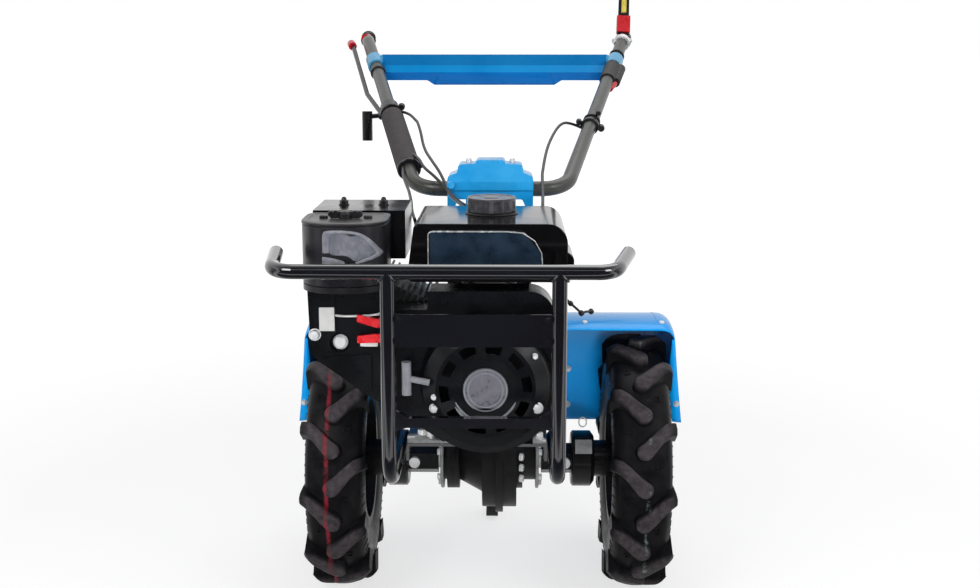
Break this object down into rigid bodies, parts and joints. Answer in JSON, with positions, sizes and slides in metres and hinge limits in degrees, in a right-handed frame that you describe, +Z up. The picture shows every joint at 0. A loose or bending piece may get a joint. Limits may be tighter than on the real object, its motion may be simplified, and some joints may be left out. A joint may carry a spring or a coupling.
{
  "type": "walking rotary tiller",
  "caption": "Two-wheel walking tiller with a petrol engine, front guard, lugged tyres, mudguards, rear hitch with drag stake, and a handlebar that swivels and tilts.",
  "frame": {"origin": "on the floor under the middle of the machine's bounding box", "axes": "+Z up, the machine's front faces -Y, +X is the operator's left"},
  "size_m": [0.634, 1.3566, 0.978],
  "materials": {
    "black_casting": "satin",
    "bright_casting": "satin",
    "black_engine_paint": "satin",
    "black_tank_plastic": "gloss",
    "black_guard_paint": "gloss",
    "blue_paint": "gloss",
    "blue_casting": "satin",
    "black_steel": "satin",
    "plated_steel": "satin",
    "hot_steel": "matte",
    "tyre_rubber": "matte",
    "grey_tube_paint": "satin",
    "black_plastic": "satin",
    "badge_plastic": "gloss",
    "grip_rubber": "matte",
    "red_plastic": "gloss",
    "grey_plastic": "satin",
    "cable_sheath": "satin",
    "grey_foam": "matte"
  },
  "bodies": {
    "chassis": {"gear_case": "black_casting", "bearing_cover_left": "black_casting", "bearing_cover_right": "black_casting", "clutch_housing": "black_casting", "turntable_base": "blue_casting", "shift_tower": "bright_casting", "shift_lever": "black_steel", "shift_knob": "black_plastic", "hitch_bracket": "black_steel", "drag_stake": "black_steel", "hitch_pins": "plated_steel", "mudguard_left": "blue_paint", "mudguard_right": "blue_paint", "mudguard_stay_left": "blue_paint", "mudguard_stay_right": "blue_paint", "engine_bed": "black_guard_paint", "front_guard": "black_guard_paint", "guard_plate": "black_guard_paint", "crankcase": "bright_casting", "oil_cap": "black_plastic", "cylinder": "bright_casting", "cylinder_head": "bright_casting", "valve_cover": "black_engine_paint", "fan_shroud": "black_engine_paint", "recoil_cover": "black_engine_paint", "recoil_badge": "badge_plastic", "fuel_tank": "black_tank_plastic", "fuel_cap": "black_plastic", "tank_brackets": "black_engine_paint", "air_cleaner_cover": "black_plastic", "air_cleaner_base": "black_plastic", "air_cleaner_knobs": "black_plastic", "carburettor": "bright_casting", "muffler": "hot_steel", "exhaust_pipe": "hot_steel", "muffler_guard": "black_engine_paint", "engine_levers": "red_plastic", "recoil_handle": "grey_plastic", "chassis_cables": "cable_sheath"},
    "axle": {"wheel_shaft": "plated_steel", "hub_left": "black_steel", "hub_right": "black_steel", "hub_pin_left": "plated_steel", "hub_pin_right": "plated_steel", "rim_left": "black_steel", "rim_right": "black_steel", "tyre_left": "tyre_rubber", "tyre_right": "tyre_rubber"},
    "swivel": {"swivel_head": "blue_casting", "clamp_cover": "blue_casting"},
    "handlebar": {"handlebar": "grey_tube_paint", "cross_panel": "blue_paint", "grip_left": "grip_rubber", "grip_right": "grip_rubber", "foam_sleeve": "grey_foam", "clutch_lever": "black_steel", "throttle_control": "black_plastic", "safety_lever": "black_steel", "control_knobs": "red_plastic", "bar_cables": "cable_sheath"}
  },
  "joints": [
    {"name": "wheels_turn", "type": "hinge", "parent": "chassis", "child": "axle", "pos_m": [0, -0.22334, 0.2075], "axis": [1, 0, 0], "continuous": true},
    {"name": "handlebar_swivel", "type": "hinge", "parent": "chassis", "child": "swivel", "pos_m": [0, -0.16634, 0.606], "axis": [0, 0, 1], "range_deg": [-30, 30]},
    {"name": "handlebar_tilt", "type": "hinge", "parent": "swivel", "child": "handlebar", "pos_m": [0, -0.16634, 0.651], "axis": [1, 0, 0], "range_deg": [-8, 20]}
  ]
}
